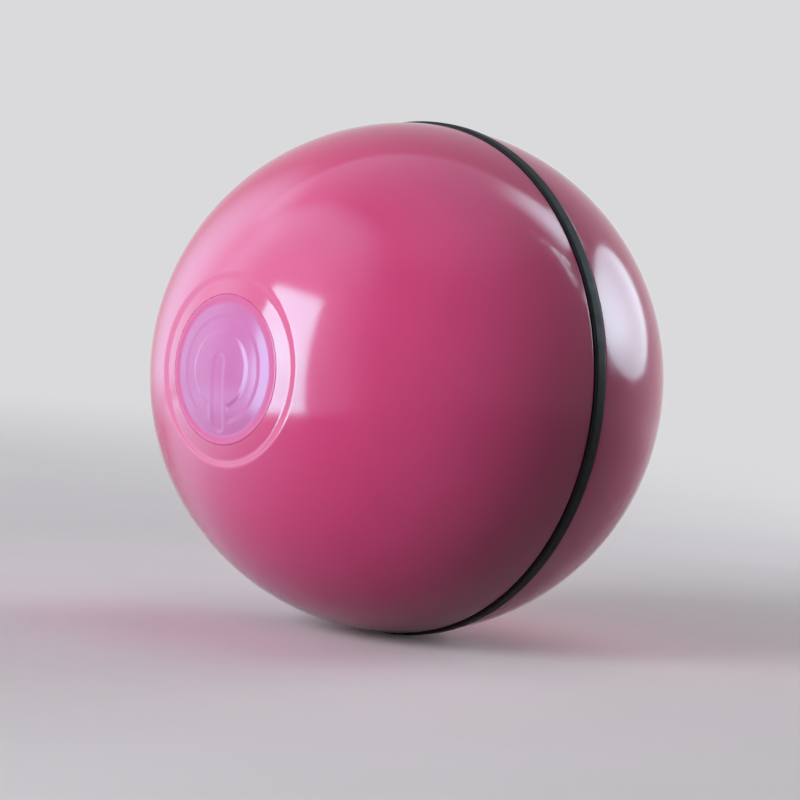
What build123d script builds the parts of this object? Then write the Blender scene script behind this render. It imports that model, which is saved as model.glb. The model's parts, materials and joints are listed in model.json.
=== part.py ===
from build123d import *

import os
from math import acos, atan2, cos, pi, radians, sin, sqrt, tan

# Self-rolling cat ball. Two glossy half shells with a soft band in their seam turn on hollow journals
# about a hanging chassis, which holds the motor, the gears, the cell, the board and a steel weight.
# Lengths are in millimetres. The ball turns about the Y axis, with its origin at the ball's centre:
# the power button is at the front pole (-Y), the charging port at the rear pole (+Y), and +Z is up.
# The word level means a distance from the seam plane outwards along the axis, at either end.

# Sizes of the ball and its two shells
ball_radius = 32.0
shell_wall = 2.0
half_offset = 0.3
rim_round = 0.35
rib_height = 0.6
rib_thickness = 0.9
rib_low = 6.5
ribs_per_shell = 6

# Sizes of the band, of the collar that it sits on and of the twist lock
band_width = 1.8
band_proud = 0.3
band_round = 0.3
foot_width = 3.4
foot_thickness = 1.15
band_fit = 0.05
collar_wall = 1.3
collar_room = 0.2
collar_reach = 4.2
collar_root = 1.6
lug_width_deg = 6.0
lug_length = 1.3
lug_level = 2.9
lug_room = 0.2
twist_deg = 14.0
lugs = 3

# Sizes of the recess, the button and its symbol
recess_radius = 11.7
recess_depth = 0.3
recess_round = 0.2
button_radius = 8.8
button_gap = 0.15
button_sink = 0.55
button_edge_round = 0.4
button_travel = 0.5
button_wall = 1.5
flange_width = 1.4
flange_thickness = 0.8
flange_room = 1.3
flange_rest_gap = 0.03
stem_radius = 1.8
symbol_depth = 0.25
symbol_ring_radius = 5.35
symbol_stroke = 1.5
symbol_gap_half = 1.75
symbol_bar_top = 1.8
symbol_bar_bottom = 7.5

# Sizes of the two hubs, the journals and their bushes
hub_radius = 15.4
hub_edge_room = 2.2
hub_thickness = 2.0
front_journal_radius = 5.0
front_bore_radius = 2.3
front_journal_reach = 0.3
rear_bore_radius = 7.2
rear_journal_wall = 1.2
rear_journal_reach = 0.6
journal_fit = 0.05
running_gap = 0.3
bush_wall = 1.05
bush_flange_wide = 1.0
front_bush_flange = 0.7
rear_bush_flange = 0.5
spring_wire_radius = 0.25
spring_wire_sides = 6
spring_radius = 3.0
spring_turns = 3.5
spring_cup_wall = 0.7
spring_cup_height = 1.0

# Sizes of the soft plug in the charging port
plug_head_radius = 8.6
plug_head_gap = 0.12
plug_sink = 0.55
plug_seat_depth = 1.2
plug_fit = 0.12
plug_reach = 4.0
plug_wall = 1.3
plug_cap = 1.6
nail_notch_radius = 2.6
nail_notch_depth = 0.7

# Sizes of the screws: head radius, head height, shank radius and shank length
hub_screw = (1.5, 0.9, 0.75, 3.2)
case_screw = (1.5, 1.0, 0.75, 5.8)
board_screw = (1.4, 0.8, 0.7, 3.2)
motor_screw = (1.3, 0.75, 0.7, 2.6)
weight_screw = (1.9, 1.2, 1.0, 6.0)
screw_slot_width = 0.35
screw_fit = 0.1
hub_boss_radius = 2.2
hub_boss_inset = 2.4
hub_screws = 3

# Sizes of the gears: the module is the pitch diameter over the number of teeth
gear_module = 0.5
pressure_angle = radians(20)
motor_teeth = 10
wheel_teeth = 28
pinion_teeth = 10
output_teeth = 12
drive_teeth = 42
addendum_share = 0.8
dedendum_share = 1.05
shift_share = 0.3
output_shift_share = 0.25
tooth_backlash = 0.06
wheel_face = 2.2
drive_face = 2.4
output_face = 2.0
gear_gap = 1.0
wheel_spacing = 1.4
wheel_room = 0.8
web_groove = 0.5
web_rim = 0.7
gear_boss_radius = 1.9
gear_pin_radius = 0.75
gear_pin_fit = 0.05
shaft_radius = 1.0
shaft_bush_wall = 0.9
peg_radius = 0.55
peg_height = 0.8

# Sizes of the chassis
chassis_room = 0.9
case_floor = 2.8
case_wall = 1.0
case_room = 0.5
case_top = -3.6
ear_radius = 2.1
ear_height = 5.2
plate_thickness = 1.8
plate_room = 1.2
front_wall = 2.7
front_wall_radius = 9.0
shelf_thickness = 0.8
bay_wall = 1.2
motor_bay_wall = 1.2
motor_bay_room = 0.3
motor_bay_front = 7.0
boss_radius = 1.6
weight_top = -19.2
weight_half_width = 12.5
weight_front = 11.0
weight_rear = 6.6

# Sizes of the motor
motor_length = 15.0
motor_width = 12.0
motor_height = 10.0
motor_boss_radius = 2.0
motor_boss_height = 0.7
motor_shaft_radius = 0.5
motor_shaft_room = 0.1
motor_screw_spacing = 9.0
endbell_length = 1.6
endbell_radius = 4.4
terminal_length = 1.7
terminal_width = 1.6
terminal_thickness = 0.3
terminal_spacing = 6.0

# Sizes of the cell and the pad above it
cell_length = 23.0
cell_width = 20.0
cell_thickness = 4.0
cell_round = 0.9
cell_end_gap = 0.5
pad_thickness = 0.8
pad_length = 18.0
pad_width = 16.0

# Sizes of the board and what is on it
board_thickness = 1.0
board_edge = 2.0
board_front_room = 0.2
board_tongue_half = 5.5
board_rear = 8.0
board_screw_out = 0.75
board_screw_front = 10.6
board_screw_rear = 5.2
switch_height = 3.5
switch_width = 7.0
switch_depth = 3.6
plunger_radius = 1.1
plunger_room = 0.08
plunger_proud = 1.1
plunger_rest_gap = 0.05
usb_width = 8.94
usb_height = 3.26
usb_length = 7.35
usb_shell_wall = 0.3
usb_mouth_inset = 1.9
usb_tongue_width = 6.7
usb_tongue_height = 0.7
usb_tongue_length = 4.45
usb_overhang = 1.2
lead_radius = 0.45
lead_sides = 8
lead_bend = 2.0
lead_drop = 1.3

# One overrun for every cut that passes right through
overrun = 1.0

# Radii and levels worked out from the sizes above
inner_radius = ball_radius - shell_wall
band_half = band_width / 2
foot_half = foot_width / 2
band_radius = ball_radius + band_proud


def level_at(radius, distance):
    """Level of a sphere of one half shell, at a distance from the axis."""
    return half_offset + sqrt(radius**2 - distance**2)


def distance_at(radius, level):
    """Distance from the axis of a sphere of one half shell, at a level."""
    return sqrt(radius**2 - (level - half_offset) ** 2)


collar_outer = distance_at(inner_radius, collar_reach) - collar_room
collar_inner = collar_outer - collar_wall
foot_inner = collar_outer + band_fit
foot_radius = foot_inner + foot_thickness
chassis_radius = collar_inner - chassis_room

button_hole = button_radius + button_gap
flange_radius = button_hole + flange_width - button_gap
seat_radius = flange_radius + flange_room
seat_level = level_at(inner_radius, seat_radius)
button_dome_radius = ball_radius - button_sink
plug_dome_radius = ball_radius - plug_sink
hub_level = level_at(inner_radius, hub_radius + hub_edge_room)
hub_inside = hub_level - hub_thickness
hub_screw_circle = hub_radius - hub_boss_inset
plug_seat_level = level_at(ball_radius, plug_head_radius + plug_head_gap) - plug_seat_depth
rear_journal_radius = rear_bore_radius + rear_journal_wall

front_wall_outside = hub_inside - running_gap - front_bush_flange
front_wall_inside = front_wall_outside - front_wall
drive_gear_start = hub_inside - drive_face
case_outside = drive_gear_start - running_gap - rear_bush_flange
case_inside = case_outside - case_floor
output_start = drive_gear_start + (drive_face - output_face) / 2
second_wheel_end = case_inside - wheel_room
second_wheel_start = second_wheel_end - wheel_face
motor_pinion_end = second_wheel_start - gear_gap
first_wheel_end = second_wheel_start - wheel_spacing
first_wheel_start = first_wheel_end - wheel_face
first_pinion_end = case_inside - gear_gap / 2
plate_rear = first_wheel_start - plate_room
plate_front = plate_rear - plate_thickness
ear_top = plate_rear + ear_height
motor_back = plate_front - motor_length

wheel_distance = gear_module * (motor_teeth + wheel_teeth) / 2
drive_distance = gear_module * (output_teeth + drive_teeth) / 2
motor_z = -drive_distance
first_gear_x = wheel_distance
wheel_tip = gear_module * (wheel_teeth / 2 + addendum_share - shift_share)
case_ring = wheel_tip + case_room + case_wall
ear_distance = case_ring + case_screw[0] + 2 * screw_fit

board_top = -switch_height / 2
board_bottom = board_top - board_thickness
cell_top = board_bottom - pad_thickness
cell_bottom = cell_top - cell_thickness
shelf_bottom = cell_bottom - shelf_thickness
cell_rear = plate_front - cell_end_gap
bay_inner = cell_width / 2 + cell_end_gap / 2
bay_outer = bay_inner + bay_wall
board_screw_x = bay_outer + board_screw_out
board_half_width = board_screw_x + board_edge
motor_bay_inner = motor_width / 2 + motor_bay_room
motor_bay_outer = motor_bay_inner + motor_bay_wall

stem_end = front_wall_inside - running_gap
plunger_tip = stem_end - plunger_rest_gap
switch_front = plunger_tip - plunger_proud
switch_back = switch_front - switch_depth
board_front = switch_front - board_front_room
usb_mouth = hub_inside - usb_mouth_inset
usb_back = usb_mouth - usb_length
usb_z = board_top + usb_height / 2
board_tongue_end = usb_mouth - usb_overhang


def block(x_from, x_to, y_from, y_to, z_from, z_to):
    """Box between two corners."""
    box = Box(x_to - x_from, y_to - y_from, z_to - z_from)
    return Pos((x_from + x_to) / 2, (y_from + y_to) / 2, (z_from + z_to) / 2) * box


def slab(outline, y_from, y_to):
    """Solid of an outline drawn in X and Z, between two places along the axis."""
    plane = Plane(origin=(0, y_to, 0), x_dir=(1, 0, 0), z_dir=(0, -1, 0))
    return extrude(plane * outline, amount=y_to - y_from)


def rod(radius, y_from, y_to, x=0, z=0):
    """Round bar along the axis direction."""
    return slab(Pos(x, z) * Circle(radius), y_from, y_to)


def tube(outer, inner, y_from, y_to, x=0, z=0):
    """Round tube along the axis direction."""
    return slab(Pos(x, z) * (Circle(outer) - Circle(inner)), y_from, y_to)


def ball(radius, level=0):
    """Ball on the axis."""
    return Pos(0, level, 0) * Sphere(radius)


def turned(points):
    """Piece turned about the axis from corners given as distance from the axis and level."""
    return revolve(make_face(Polyline(*points, close=True)), Axis.Y)


def sector(inner, outer, level_from, level_to, middle_deg, width_deg):
    """Part of a turned ring, about a direction given in degrees round the axis."""
    corners = ((inner, level_from), (outer, level_from), (outer, level_to), (inner, level_to))
    ring = revolve(make_face(Polyline(*corners, close=True)), Axis.Y, width_deg)
    return Rot(0, middle_deg - width_deg / 2, 0) * ring


def shell_arc(radius, start, end):
    """Arc of a half shell's section between two of its points."""
    first = atan2(start[1] - half_offset, start[0])
    last = atan2(end[1] - half_offset, end[0])
    middle = (first + last) / 2
    through = (radius * cos(middle), half_offset + radius * sin(middle))
    return ThreePointArc(start, through, end)


def rounded(face, corners, radius):
    """Face with the named corners rounded."""
    chosen = []
    for corner in corners:
        chosen.append(face.vertices().sort_by_distance((corner[0], corner[1], 0))[0])
    return fillet(chosen, radius)


def to_front(piece):
    """Piece drawn at the rear, mirrored to the front pole."""
    return mirror(piece, about=Plane.XZ)


def around(radius, count, first_deg=90):
    """Places on a circle about the axis, as X and Z."""
    places = []
    for index in range(count):
        angle = radians(first_deg) + 2 * pi * index / count
        places.append((radius * cos(angle), radius * sin(angle)))
    return places


def hub_bosses():
    """Screw bosses inside a shell, cut off within its wall, with their pilot holes."""
    within_wall = ball(ball_radius - recess_depth - shell_wall / 2, half_offset)
    bosses = None
    for x, z in around(hub_screw_circle, hub_screws):
        boss = tube(hub_boss_radius, hub_screw[2], hub_level, ball_radius, x, z) & within_wall
        bosses = boss if bosses is None else bosses + boss
    return bosses


def shell_ribs(outer_distance):
    """Low ribs on a shell's inside, from near the seam to near the hub."""
    shell_middle = inner_radius + shell_wall / 2
    crest = inner_radius - rib_height
    low_out = (distance_at(shell_middle, rib_low), rib_low)
    low_in = (distance_at(crest, rib_low), rib_low)
    high_in = (outer_distance, level_at(crest, outer_distance))
    high_out = (outer_distance, level_at(shell_middle, outer_distance))
    edges = [
        shell_arc(shell_middle, low_out, high_out),
        Line(high_out, high_in),
        shell_arc(crest, high_in, low_in),
        Line(low_in, low_out),
    ]
    section = make_face(edges)
    rib = extrude(section, rib_thickness / 2, both=True)
    ribs = None
    for index in range(ribs_per_shell):
        angle = 360 * (index + 1 / 2) / ribs_per_shell
        turned_rib = Rot(0, angle, 0) * rib
        ribs = turned_rib if ribs is None else ribs + turned_rib
    return ribs


def make_front_shell():
    """Pink half shell with the recess and the button's hole at its pole."""
    recess_sphere = ball_radius - recess_depth
    rim = (distance_at(ball_radius, band_half), band_half)
    recess_top = (recess_radius, level_at(ball_radius, recess_radius))
    recess_share = recess_sphere / ball_radius
    recess_foot_distance = recess_radius * recess_share
    recess_foot = (recess_foot_distance, level_at(recess_sphere, recess_foot_distance))
    hole_top = (button_hole, level_at(recess_sphere, button_hole))
    hole_foot = (button_hole, seat_level)
    seat_edge = (seat_radius, seat_level)
    inside_rim = (distance_at(inner_radius, foot_half), foot_half)
    foot_step = (foot_radius + band_fit, foot_half)
    foot_top = (foot_radius + band_fit, band_half)
    edges = [
        shell_arc(ball_radius, rim, recess_top),
        Line(recess_top, recess_foot),
        shell_arc(recess_sphere, recess_foot, hole_top),
        Line(hole_top, hole_foot),
        Line(hole_foot, seat_edge),
        shell_arc(inner_radius, seat_edge, inside_rim),
        Line(inside_rim, foot_step),
        Line(foot_step, foot_top),
        Line(foot_top, rim),
    ]
    section = rounded(make_face(edges), (rim,), rim_round)
    section = rounded(section, (recess_top, hole_top), recess_round)
    shell = revolve(section, Axis.Y)
    shell += shell_ribs(hub_radius + hub_edge_room)
    shell += hub_bosses()
    shell = to_front(shell)
    lug_inner = collar_inner + lug_room
    lug_from = -lug_level - lug_length / 2
    lug_outer = inner_radius + shell_wall / 2
    for index in range(lugs):
        angle = 360 * index / lugs
        shell += sector(lug_inner, lug_outer, lug_from, lug_from + lug_length, angle, lug_width_deg)
    return shell


def make_rear_shell():
    """Pink half shell with the charging port at its pole and the locking collar at its seam."""
    head_hole = plug_head_radius + plug_head_gap
    chimney = rear_bore_radius + rear_journal_wall
    root_level = foot_half + collar_root
    rim = (distance_at(ball_radius, band_half), band_half)
    head_edge = (head_hole, level_at(ball_radius, head_hole))
    inner_top = (chimney, level_at(inner_radius, chimney))
    root = (distance_at(inner_radius, root_level), root_level)
    corners = [
        (head_hole, plug_seat_level),
        (rear_bore_radius, plug_seat_level),
        (rear_bore_radius, hub_level),
        (chimney, hub_level),
        inner_top,
    ]
    collar = [
        root,
        (collar_inner, root_level),
        (collar_inner, -collar_reach),
        (collar_outer, -collar_reach),
        (collar_outer, foot_half),
        (foot_radius + band_fit, foot_half),
        (foot_radius + band_fit, band_half),
        rim,
    ]
    edges = [
        shell_arc(ball_radius, rim, head_edge),
        Polyline(head_edge, *corners),
        shell_arc(inner_radius, inner_top, root),
        Polyline(*collar),
    ]
    section = rounded(make_face(edges), (rim,), rim_round)
    shell = revolve(rounded(section, (head_edge,), recess_round), Axis.Y)
    shell += shell_ribs(hub_radius + hub_edge_room)
    shell += hub_bosses()
    notch = Pos(0, plug_seat_level + nail_notch_depth + nail_notch_radius, head_hole)
    shell -= notch * Sphere(nail_notch_radius)
    return shell - lock_slots()


def lock_slots():
    """L-shaped slots in the collar, which the front shell's lugs enter and then turn into."""
    lug_room_deg = lug_width_deg / 4
    slot_width = lug_width_deg + lug_room_deg
    slot_low = -lug_level - lug_length / 2 - lug_room
    slot_high = -lug_level + lug_length / 2 + lug_room
    cut_inner = collar_inner - overrun
    cut_outer = collar_outer + band_fit
    slots = None
    for index in range(lugs):
        angle = 360 * index / lugs
        run_middle = angle + twist_deg / 2
        run = sector(cut_inner, cut_outer, slot_low, slot_high, run_middle, slot_width + twist_deg)
        entry_from = -collar_reach - overrun
        entry = sector(cut_inner, cut_outer, entry_from, slot_high, angle + twist_deg, slot_width)
        slots = run + entry if slots is None else slots + run + entry
    return slots


def make_grip_band():
    """Soft black band with a flat tread and a wider foot that the shells' rims hold."""
    foot_end = foot_half - band_fit
    tread = ((band_radius, -band_half), (band_radius, band_half))
    section = make_face(Polyline(
        *tread,
        (foot_radius, band_half),
        (foot_radius, foot_end),
        (foot_inner, foot_end),
        (foot_inner, -foot_end),
        (foot_radius, -foot_end),
        (foot_radius, -band_half),
        close=True,
    ))
    return revolve(rounded(section, tread, band_round), Axis.Y)


def symbol_outline():
    """Power symbol: an open ring with a bar in its gap."""
    half_stroke = symbol_stroke / 2
    ring = Circle(symbol_ring_radius + half_stroke) - Circle(symbol_ring_radius - half_stroke)
    gap_height = symbol_ring_radius + symbol_stroke
    gap = Pos(0, -gap_height / 2) * Rectangle(2 * symbol_gap_half, gap_height)
    bar_length = symbol_bar_top + symbol_bar_bottom
    bar_middle = (symbol_bar_top - symbol_bar_bottom) / 2
    bar = Pos(0, bar_middle) * SlotOverall(bar_length, symbol_stroke, rotation=90)
    return ring - gap + bar


def make_power_button():
    """Domed button cap with its flange, its stem and the engraved symbol."""
    dome_foot = level_at(button_dome_radius, button_radius)
    dome_pole = half_offset + button_dome_radius
    flange_top = seat_level - flange_rest_gap
    flange_foot = flange_top - flange_thickness
    cap_inner = button_radius - button_wall
    cap_inside = dome_foot - button_wall
    edges = [
        shell_arc(button_dome_radius, (0, dome_pole), (button_radius, dome_foot)),
        Polyline(
            (button_radius, dome_foot),
            (button_radius, flange_top),
            (flange_radius, flange_top),
            (flange_radius, flange_foot),
            (cap_inner, flange_foot),
            (cap_inner, cap_inside),
            (stem_radius, cap_inside),
            (stem_radius, stem_end),
            (0, stem_end),
            (0, dome_pole),
        ),
    ]
    section = rounded(make_face(edges), ((button_radius, dome_foot),), button_edge_round)
    button = to_front(revolve(section, Axis.Y))
    symbol = slab(symbol_outline(), -dome_pole - overrun, -dome_foot + symbol_depth + overrun)
    return button - (symbol - ball(button_dome_radius - symbol_depth, -half_offset))


def make_button_spring():
    """Coil spring between the front hub and the inside of the button cap."""
    foot = hub_level + spring_wire_radius
    top = level_at(button_dome_radius, button_radius) - button_wall - spring_wire_radius
    height = top - foot
    path = Helix(pitch=height / spring_turns, height=height, radius=spring_radius)
    start = path.location_at(0)
    outline = RegularPolygon(spring_wire_radius, spring_wire_sides)
    wire = sweep(Plane(origin=start.position, z_dir=path % 0) * outline, path)
    return Pos(0, -foot, 0) * Rot(90, 0, 0) * wire


def hub_screw_holes(piece):
    """Hub plate with clear holes and sunk seats for its screws, drawn at the rear."""
    head_radius, head_height, shank_radius, _ = hub_screw
    for x, z in around(hub_screw_circle, hub_screws):
        piece -= rod(shank_radius + screw_fit, hub_inside - overrun, hub_level + overrun, x, z)
        seat = rod(head_radius + screw_fit, hub_inside - overrun, hub_inside + head_height, x, z)
        piece -= seat
    return piece


def make_front_hub():
    """Plate behind the button, with the front journal and a cup for the spring."""
    journal_end = front_wall_inside + front_journal_reach
    cup_inner = spring_radius + 2 * spring_wire_radius
    cup_outer = cup_inner + spring_cup_wall
    hub = turned((
        (front_bore_radius, journal_end),
        (front_journal_radius, journal_end),
        (front_journal_radius, hub_inside),
        (hub_radius, hub_inside),
        (hub_radius, hub_level),
        (cup_outer, hub_level),
        (cup_outer, hub_level + spring_cup_height),
        (cup_inner, hub_level + spring_cup_height),
        (cup_inner, hub_level),
        (front_bore_radius, hub_level),
    ))
    return to_front(hub_screw_holes(hub))


def make_rear_hub():
    """Plate inside the rear shell, with the wide hollow journal that the charging plug passes."""
    journal_end = case_inside - rear_journal_reach
    hub = turned((
        (rear_bore_radius, journal_end),
        (rear_journal_radius, journal_end),
        (rear_journal_radius, hub_inside),
        (hub_radius, hub_inside),
        (hub_radius, hub_level),
        (rear_bore_radius, hub_level),
    ))
    hub = hub_screw_holes(hub)
    return hub - drive_pegs(peg_radius + screw_fit / 2, hub_inside - overrun)


def drive_pegs(radius, foot_level):
    """Pegs that key the drive gear to the rear hub."""
    peg_circle = (rear_journal_radius + root_radius(drive_teeth, -output_shift_share)) / 2
    pegs = None
    for x, z in around(peg_circle, hub_screws, -90):
        peg = rod(radius, foot_level, hub_inside + peg_height, x, z)
        pegs = peg if pegs is None else pegs + peg
    return pegs


def screw(size):
    """Screw with its head on top of Z = 0 and its shank below."""
    head_radius, head_height, shank_radius, length = size
    middle = head_height / 2
    head = Pos(0, 0, middle) * Cylinder(head_radius, head_height)
    shank = Pos(0, 0, -length / 2) * Cylinder(shank_radius, length)
    slot = Pos(0, 0, head_height) * Box(head_radius, screw_slot_width, head_height)
    return head + shank - slot - Rot(0, 0, 90) * slot


def screws_at(size, places, turn):
    """Group of like screws, each turned the same way."""
    group = []
    for place in places:
        group.append(Pos(*place) * turn * screw(size))
    return Compound(children=group)


def make_hub_screws(side):
    """Screws of one hub, with side -1 for the front and 1 for the rear."""
    level = side * (hub_inside + hub_screw[1])
    places = [(x, level, z) for x, z in around(hub_screw_circle, hub_screws)]
    return screws_at(hub_screw, places, Rot(side * 90, 0, 0))


def involute(angle):
    """Involute function of a pressure angle."""
    return tan(angle) - angle


def tip_radius(teeth, shift):
    return gear_module * (teeth / 2 + addendum_share + shift)


def root_radius(teeth, shift):
    return gear_module * (teeth / 2 - dedendum_share + shift)


def gear_outline(teeth, shift, first_deg):
    """Spur gear's outline in X and Z, with involute flanks and one tooth centred at first_deg."""
    pitch_radius = gear_module * teeth / 2
    base_radius = pitch_radius * cos(pressure_angle)
    tip = tip_radius(teeth, shift)
    root = root_radius(teeth, shift)
    flank_start = max(base_radius, root)
    flank_middle = (flank_start + tip) / 2
    pitch_half = pi / (2 * teeth) + 2 * shift * tan(pressure_angle) / teeth
    pitch_half -= tooth_backlash / (2 * pitch_radius)

    def half_angle(radius):
        return pitch_half + involute(pressure_angle) - involute(acos(base_radius / radius))

    def point(radius, angle):
        return (radius * cos(angle), radius * sin(angle))

    edges = []
    tooth_step = 2 * pi / teeth
    for tooth in range(teeth):
        centre = radians(first_deg) + tooth * tooth_step
        flanks = []
        for side in (-1, 1):
            foot = point(root, centre + side * half_angle(flank_start))
            start = point(flank_start, centre + side * half_angle(flank_start))
            middle = point(flank_middle, centre + side * half_angle(flank_middle))
            end = point(tip, centre + side * half_angle(tip))
            flanks.append((foot, start, middle, end))
        left, right = flanks
        next_foot = point(root, centre + tooth_step - half_angle(flank_start))
        if flank_start > root:
            edges.append(Line(left[0], left[1]))
            edges.append(Line(right[1], right[0]))
        edges.append(ThreePointArc(left[1], left[2], left[3]))
        edges.append(Line(left[3], right[3]))
        edges.append(ThreePointArc(right[3], right[2], right[1]))
        edges.append(Line(right[0], next_foot))
    return make_face(edges)


def gear(teeth, shift, first_deg, y_from, y_to, x, z):
    """Spur gear about a line along Y through X and Z."""
    return slab(Pos(x, z) * gear_outline(teeth, shift, first_deg), y_from, y_to)


def wheel_grooves(inner, y_from, y_to, x, z):
    """Grooves that thin a wheel's web on both sides."""
    outer = root_radius(wheel_teeth, -shift_share) - web_rim
    near = tube(outer, inner, y_from - overrun, y_from + web_groove, x, z)
    return near + tube(outer, inner, y_to - web_groove, y_to + overrun, x, z)


# A tooth of one gear meets a gap of the next on the line between their centres.
motor_first_deg = 0
first_wheel_deg = 180 + 180 / wheel_teeth
first_pinion_deg = 180
second_wheel_deg = 180 / wheel_teeth
output_first_deg = 90
drive_first_deg = -90 + 180 / drive_teeth


def make_motor_pinion():
    """Pinion on the motor's shaft."""
    start = first_wheel_start - wheel_room / 2
    pinion = gear(motor_teeth, shift_share, motor_first_deg, start, motor_pinion_end, 0, motor_z)
    return pinion - rod(motor_shaft_radius, start - overrun, motor_pinion_end + overrun, 0, motor_z)


def make_first_gear():
    """Wheel and pinion in one moulding, which turns on a fixed pin."""
    x, z = first_gear_x, motor_z
    boss_start = plate_rear + running_gap
    boss_end = case_inside - running_gap
    piece = gear(
        wheel_teeth, -shift_share, first_wheel_deg, first_wheel_start, first_wheel_end, x, z
    )
    pinion_tip = tip_radius(pinion_teeth, shift_share)
    piece -= wheel_grooves(pinion_tip, first_wheel_start, first_wheel_end, x, z)
    piece += gear(
        pinion_teeth, shift_share, first_pinion_deg, first_wheel_end - web_groove, first_pinion_end, x, z
    )
    piece += rod(gear_boss_radius, boss_start, boss_end, x, z)
    return piece - rod(gear_pin_radius + gear_pin_fit, boss_start - overrun, boss_end + overrun, x, z)


def make_first_gear_pin():
    """Steel pin that the first gear turns on, held in the frame's plate and in the case."""
    end = case_inside + case_floor / 2
    return rod(gear_pin_radius, plate_front + plate_thickness / 4, end, first_gear_x, motor_z)


def make_second_gear():
    """Wheel that the first gear's pinion drives."""
    wheel = gear(
        wheel_teeth, -shift_share, second_wheel_deg, second_wheel_start, second_wheel_end, 0, motor_z
    )
    boss_outer = shaft_radius + gear_boss_radius
    wheel -= wheel_grooves(boss_outer, second_wheel_start, second_wheel_end, 0, motor_z)
    start = second_wheel_start - overrun
    return wheel - rod(shaft_radius, start, second_wheel_end + overrun, 0, motor_z)


def make_second_shaft():
    """Steel shaft that carries the second wheel inside the case and the output pinion outside."""
    start = second_wheel_start - running_gap
    end = output_start + output_face + running_gap / 2
    return rod(shaft_radius, start, end, 0, motor_z)


def make_output_pinion():
    """Pinion that drives the gear on the rear hub."""
    end = output_start + output_face
    pinion = gear(output_teeth, output_shift_share, output_first_deg, output_start, end, 0, motor_z)
    return pinion - rod(shaft_radius, output_start - overrun, end + overrun, 0, motor_z)


def make_drive_gear():
    """Ring gear keyed to the rear hub by its pegs."""
    ring = gear(drive_teeth, -output_shift_share, drive_first_deg, drive_gear_start, hub_inside, 0, 0)
    bore = rear_journal_radius + journal_fit / 2
    ring -= rod(bore, drive_gear_start - overrun, hub_inside + overrun)
    return ring + drive_pegs(peg_radius, hub_inside - drive_face / 2)


def make_shaft_bush():
    """Bush that the second shaft turns in."""
    start = second_wheel_end + running_gap
    end = output_start - running_gap
    outer = shaft_radius + journal_fit / 2 + shaft_bush_wall
    return tube(outer, shaft_radius + journal_fit / 2, start, end, 0, motor_z)


def make_front_bush():
    """Flanged bush for the front journal."""
    bore = front_journal_radius + journal_fit
    bush = turned((
        (bore, front_wall_inside),
        (bore + bush_wall, front_wall_inside),
        (bore + bush_wall, front_wall_outside),
        (bore + bush_wall + bush_flange_wide, front_wall_outside),
        (bore + bush_wall + bush_flange_wide, front_wall_outside + front_bush_flange),
        (bore, front_wall_outside + front_bush_flange),
    ))
    return to_front(bush)


def make_rear_bush():
    """Flanged bush for the rear journal."""
    bore = rear_journal_radius + journal_fit
    return turned((
        (bore, case_inside),
        (bore + bush_wall, case_inside),
        (bore + bush_wall, case_outside),
        (bore + bush_wall + bush_flange_wide, case_outside),
        (bore + bush_wall + bush_flange_wide, case_outside + rear_bush_flange),
        (bore, case_outside + rear_bush_flange),
    ))


def case_hull(ring, hub_ring):
    """Outline round the two gear axes and the ball's axis."""
    circles = [
        Circle(hub_ring),
        Pos(0, motor_z) * Circle(ring),
        Pos(first_gear_x, motor_z) * Circle(ring),
    ]
    edges = ShapeList()
    for circle in circles:
        edges += circle.edges()
    return make_hull(edges)


def above_case(y_from, y_to):
    """Room above the gear case, for the board."""
    return block(-ball_radius, ball_radius, y_from, y_to, case_top, ball_radius)


def ear_places():
    """Places of the case's three screws, as X and Z, round the gear axes."""
    places = []
    for axis_x, angle_deg in ((0, 180), (0, 215), (first_gear_x, 30)):
        angle = radians(angle_deg)
        x = axis_x + ear_distance * cos(angle)
        places.append((x, motor_z + ear_distance * sin(angle)))
    return places


hub_ring_outer = rear_journal_radius + journal_fit + bush_wall + bush_flange_wide + case_room


def make_gearbox_cover():
    """Case round the gears, whose floor holds the rear bush and the second shaft's bush."""
    skirt = slab(case_hull(case_ring, hub_ring_outer), plate_rear, case_outside)
    inner = case_hull(case_ring - case_wall, hub_ring_outer - case_wall)
    skirt -= slab(inner, plate_rear - overrun, case_inside)
    cover = skirt - above_case(plate_rear - overrun, case_inside)
    cover &= ball(chassis_radius)
    hollow = slab(inner, plate_rear - overrun, case_inside)
    for x, z in ear_places():
        cover += rod(ear_radius, plate_rear, ear_top, x, z) - hollow
        cover -= rod(case_screw[2] + screw_fit, plate_rear - overrun, ear_top + overrun, x, z)
    bush_outer = rear_journal_radius + journal_fit + bush_wall
    cover -= rod(bush_outer, case_inside - overrun, case_outside + overrun)
    shaft_bush_outer = shaft_radius + journal_fit / 2 + shaft_bush_wall
    cover -= rod(shaft_bush_outer, case_inside - overrun, case_outside + overrun, 0, motor_z)
    pin_end = case_inside + case_floor / 2
    return cover - rod(gear_pin_radius, case_inside - overrun, pin_end, first_gear_x, motor_z)


def make_gear_plate():
    """Frame's plate that closes the gear case and carries the motor."""
    plate = slab(case_hull(case_ring, hub_ring_outer), plate_front, plate_rear)
    plate -= above_case(plate_front - overrun, plate_rear + overrun)
    for x, z in ear_places():
        plate += rod(ear_radius, plate_front, plate_rear, x, z)
    pin_start = plate_front + plate_thickness / 4
    plate -= rod(gear_pin_radius, pin_start, plate_rear + overrun, first_gear_x, motor_z)
    boss = motor_boss_radius + motor_shaft_room
    plate -= rod(boss, plate_front - overrun, plate_rear + overrun, 0, motor_z)
    for side in (-1, 1):
        hole = motor_screw[2] + screw_fit
        x = side * motor_screw_spacing / 2
        plate -= rod(hole, plate_front - overrun, plate_rear + overrun, x, motor_z)
    return plate


def board_screw_places(z):
    """Places of the board's four screws at a height."""
    places = []
    for side in (-1, 1):
        for y in (-board_screw_front, board_screw_rear):
            places.append((side * board_screw_x, y, z))
    return places


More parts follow.
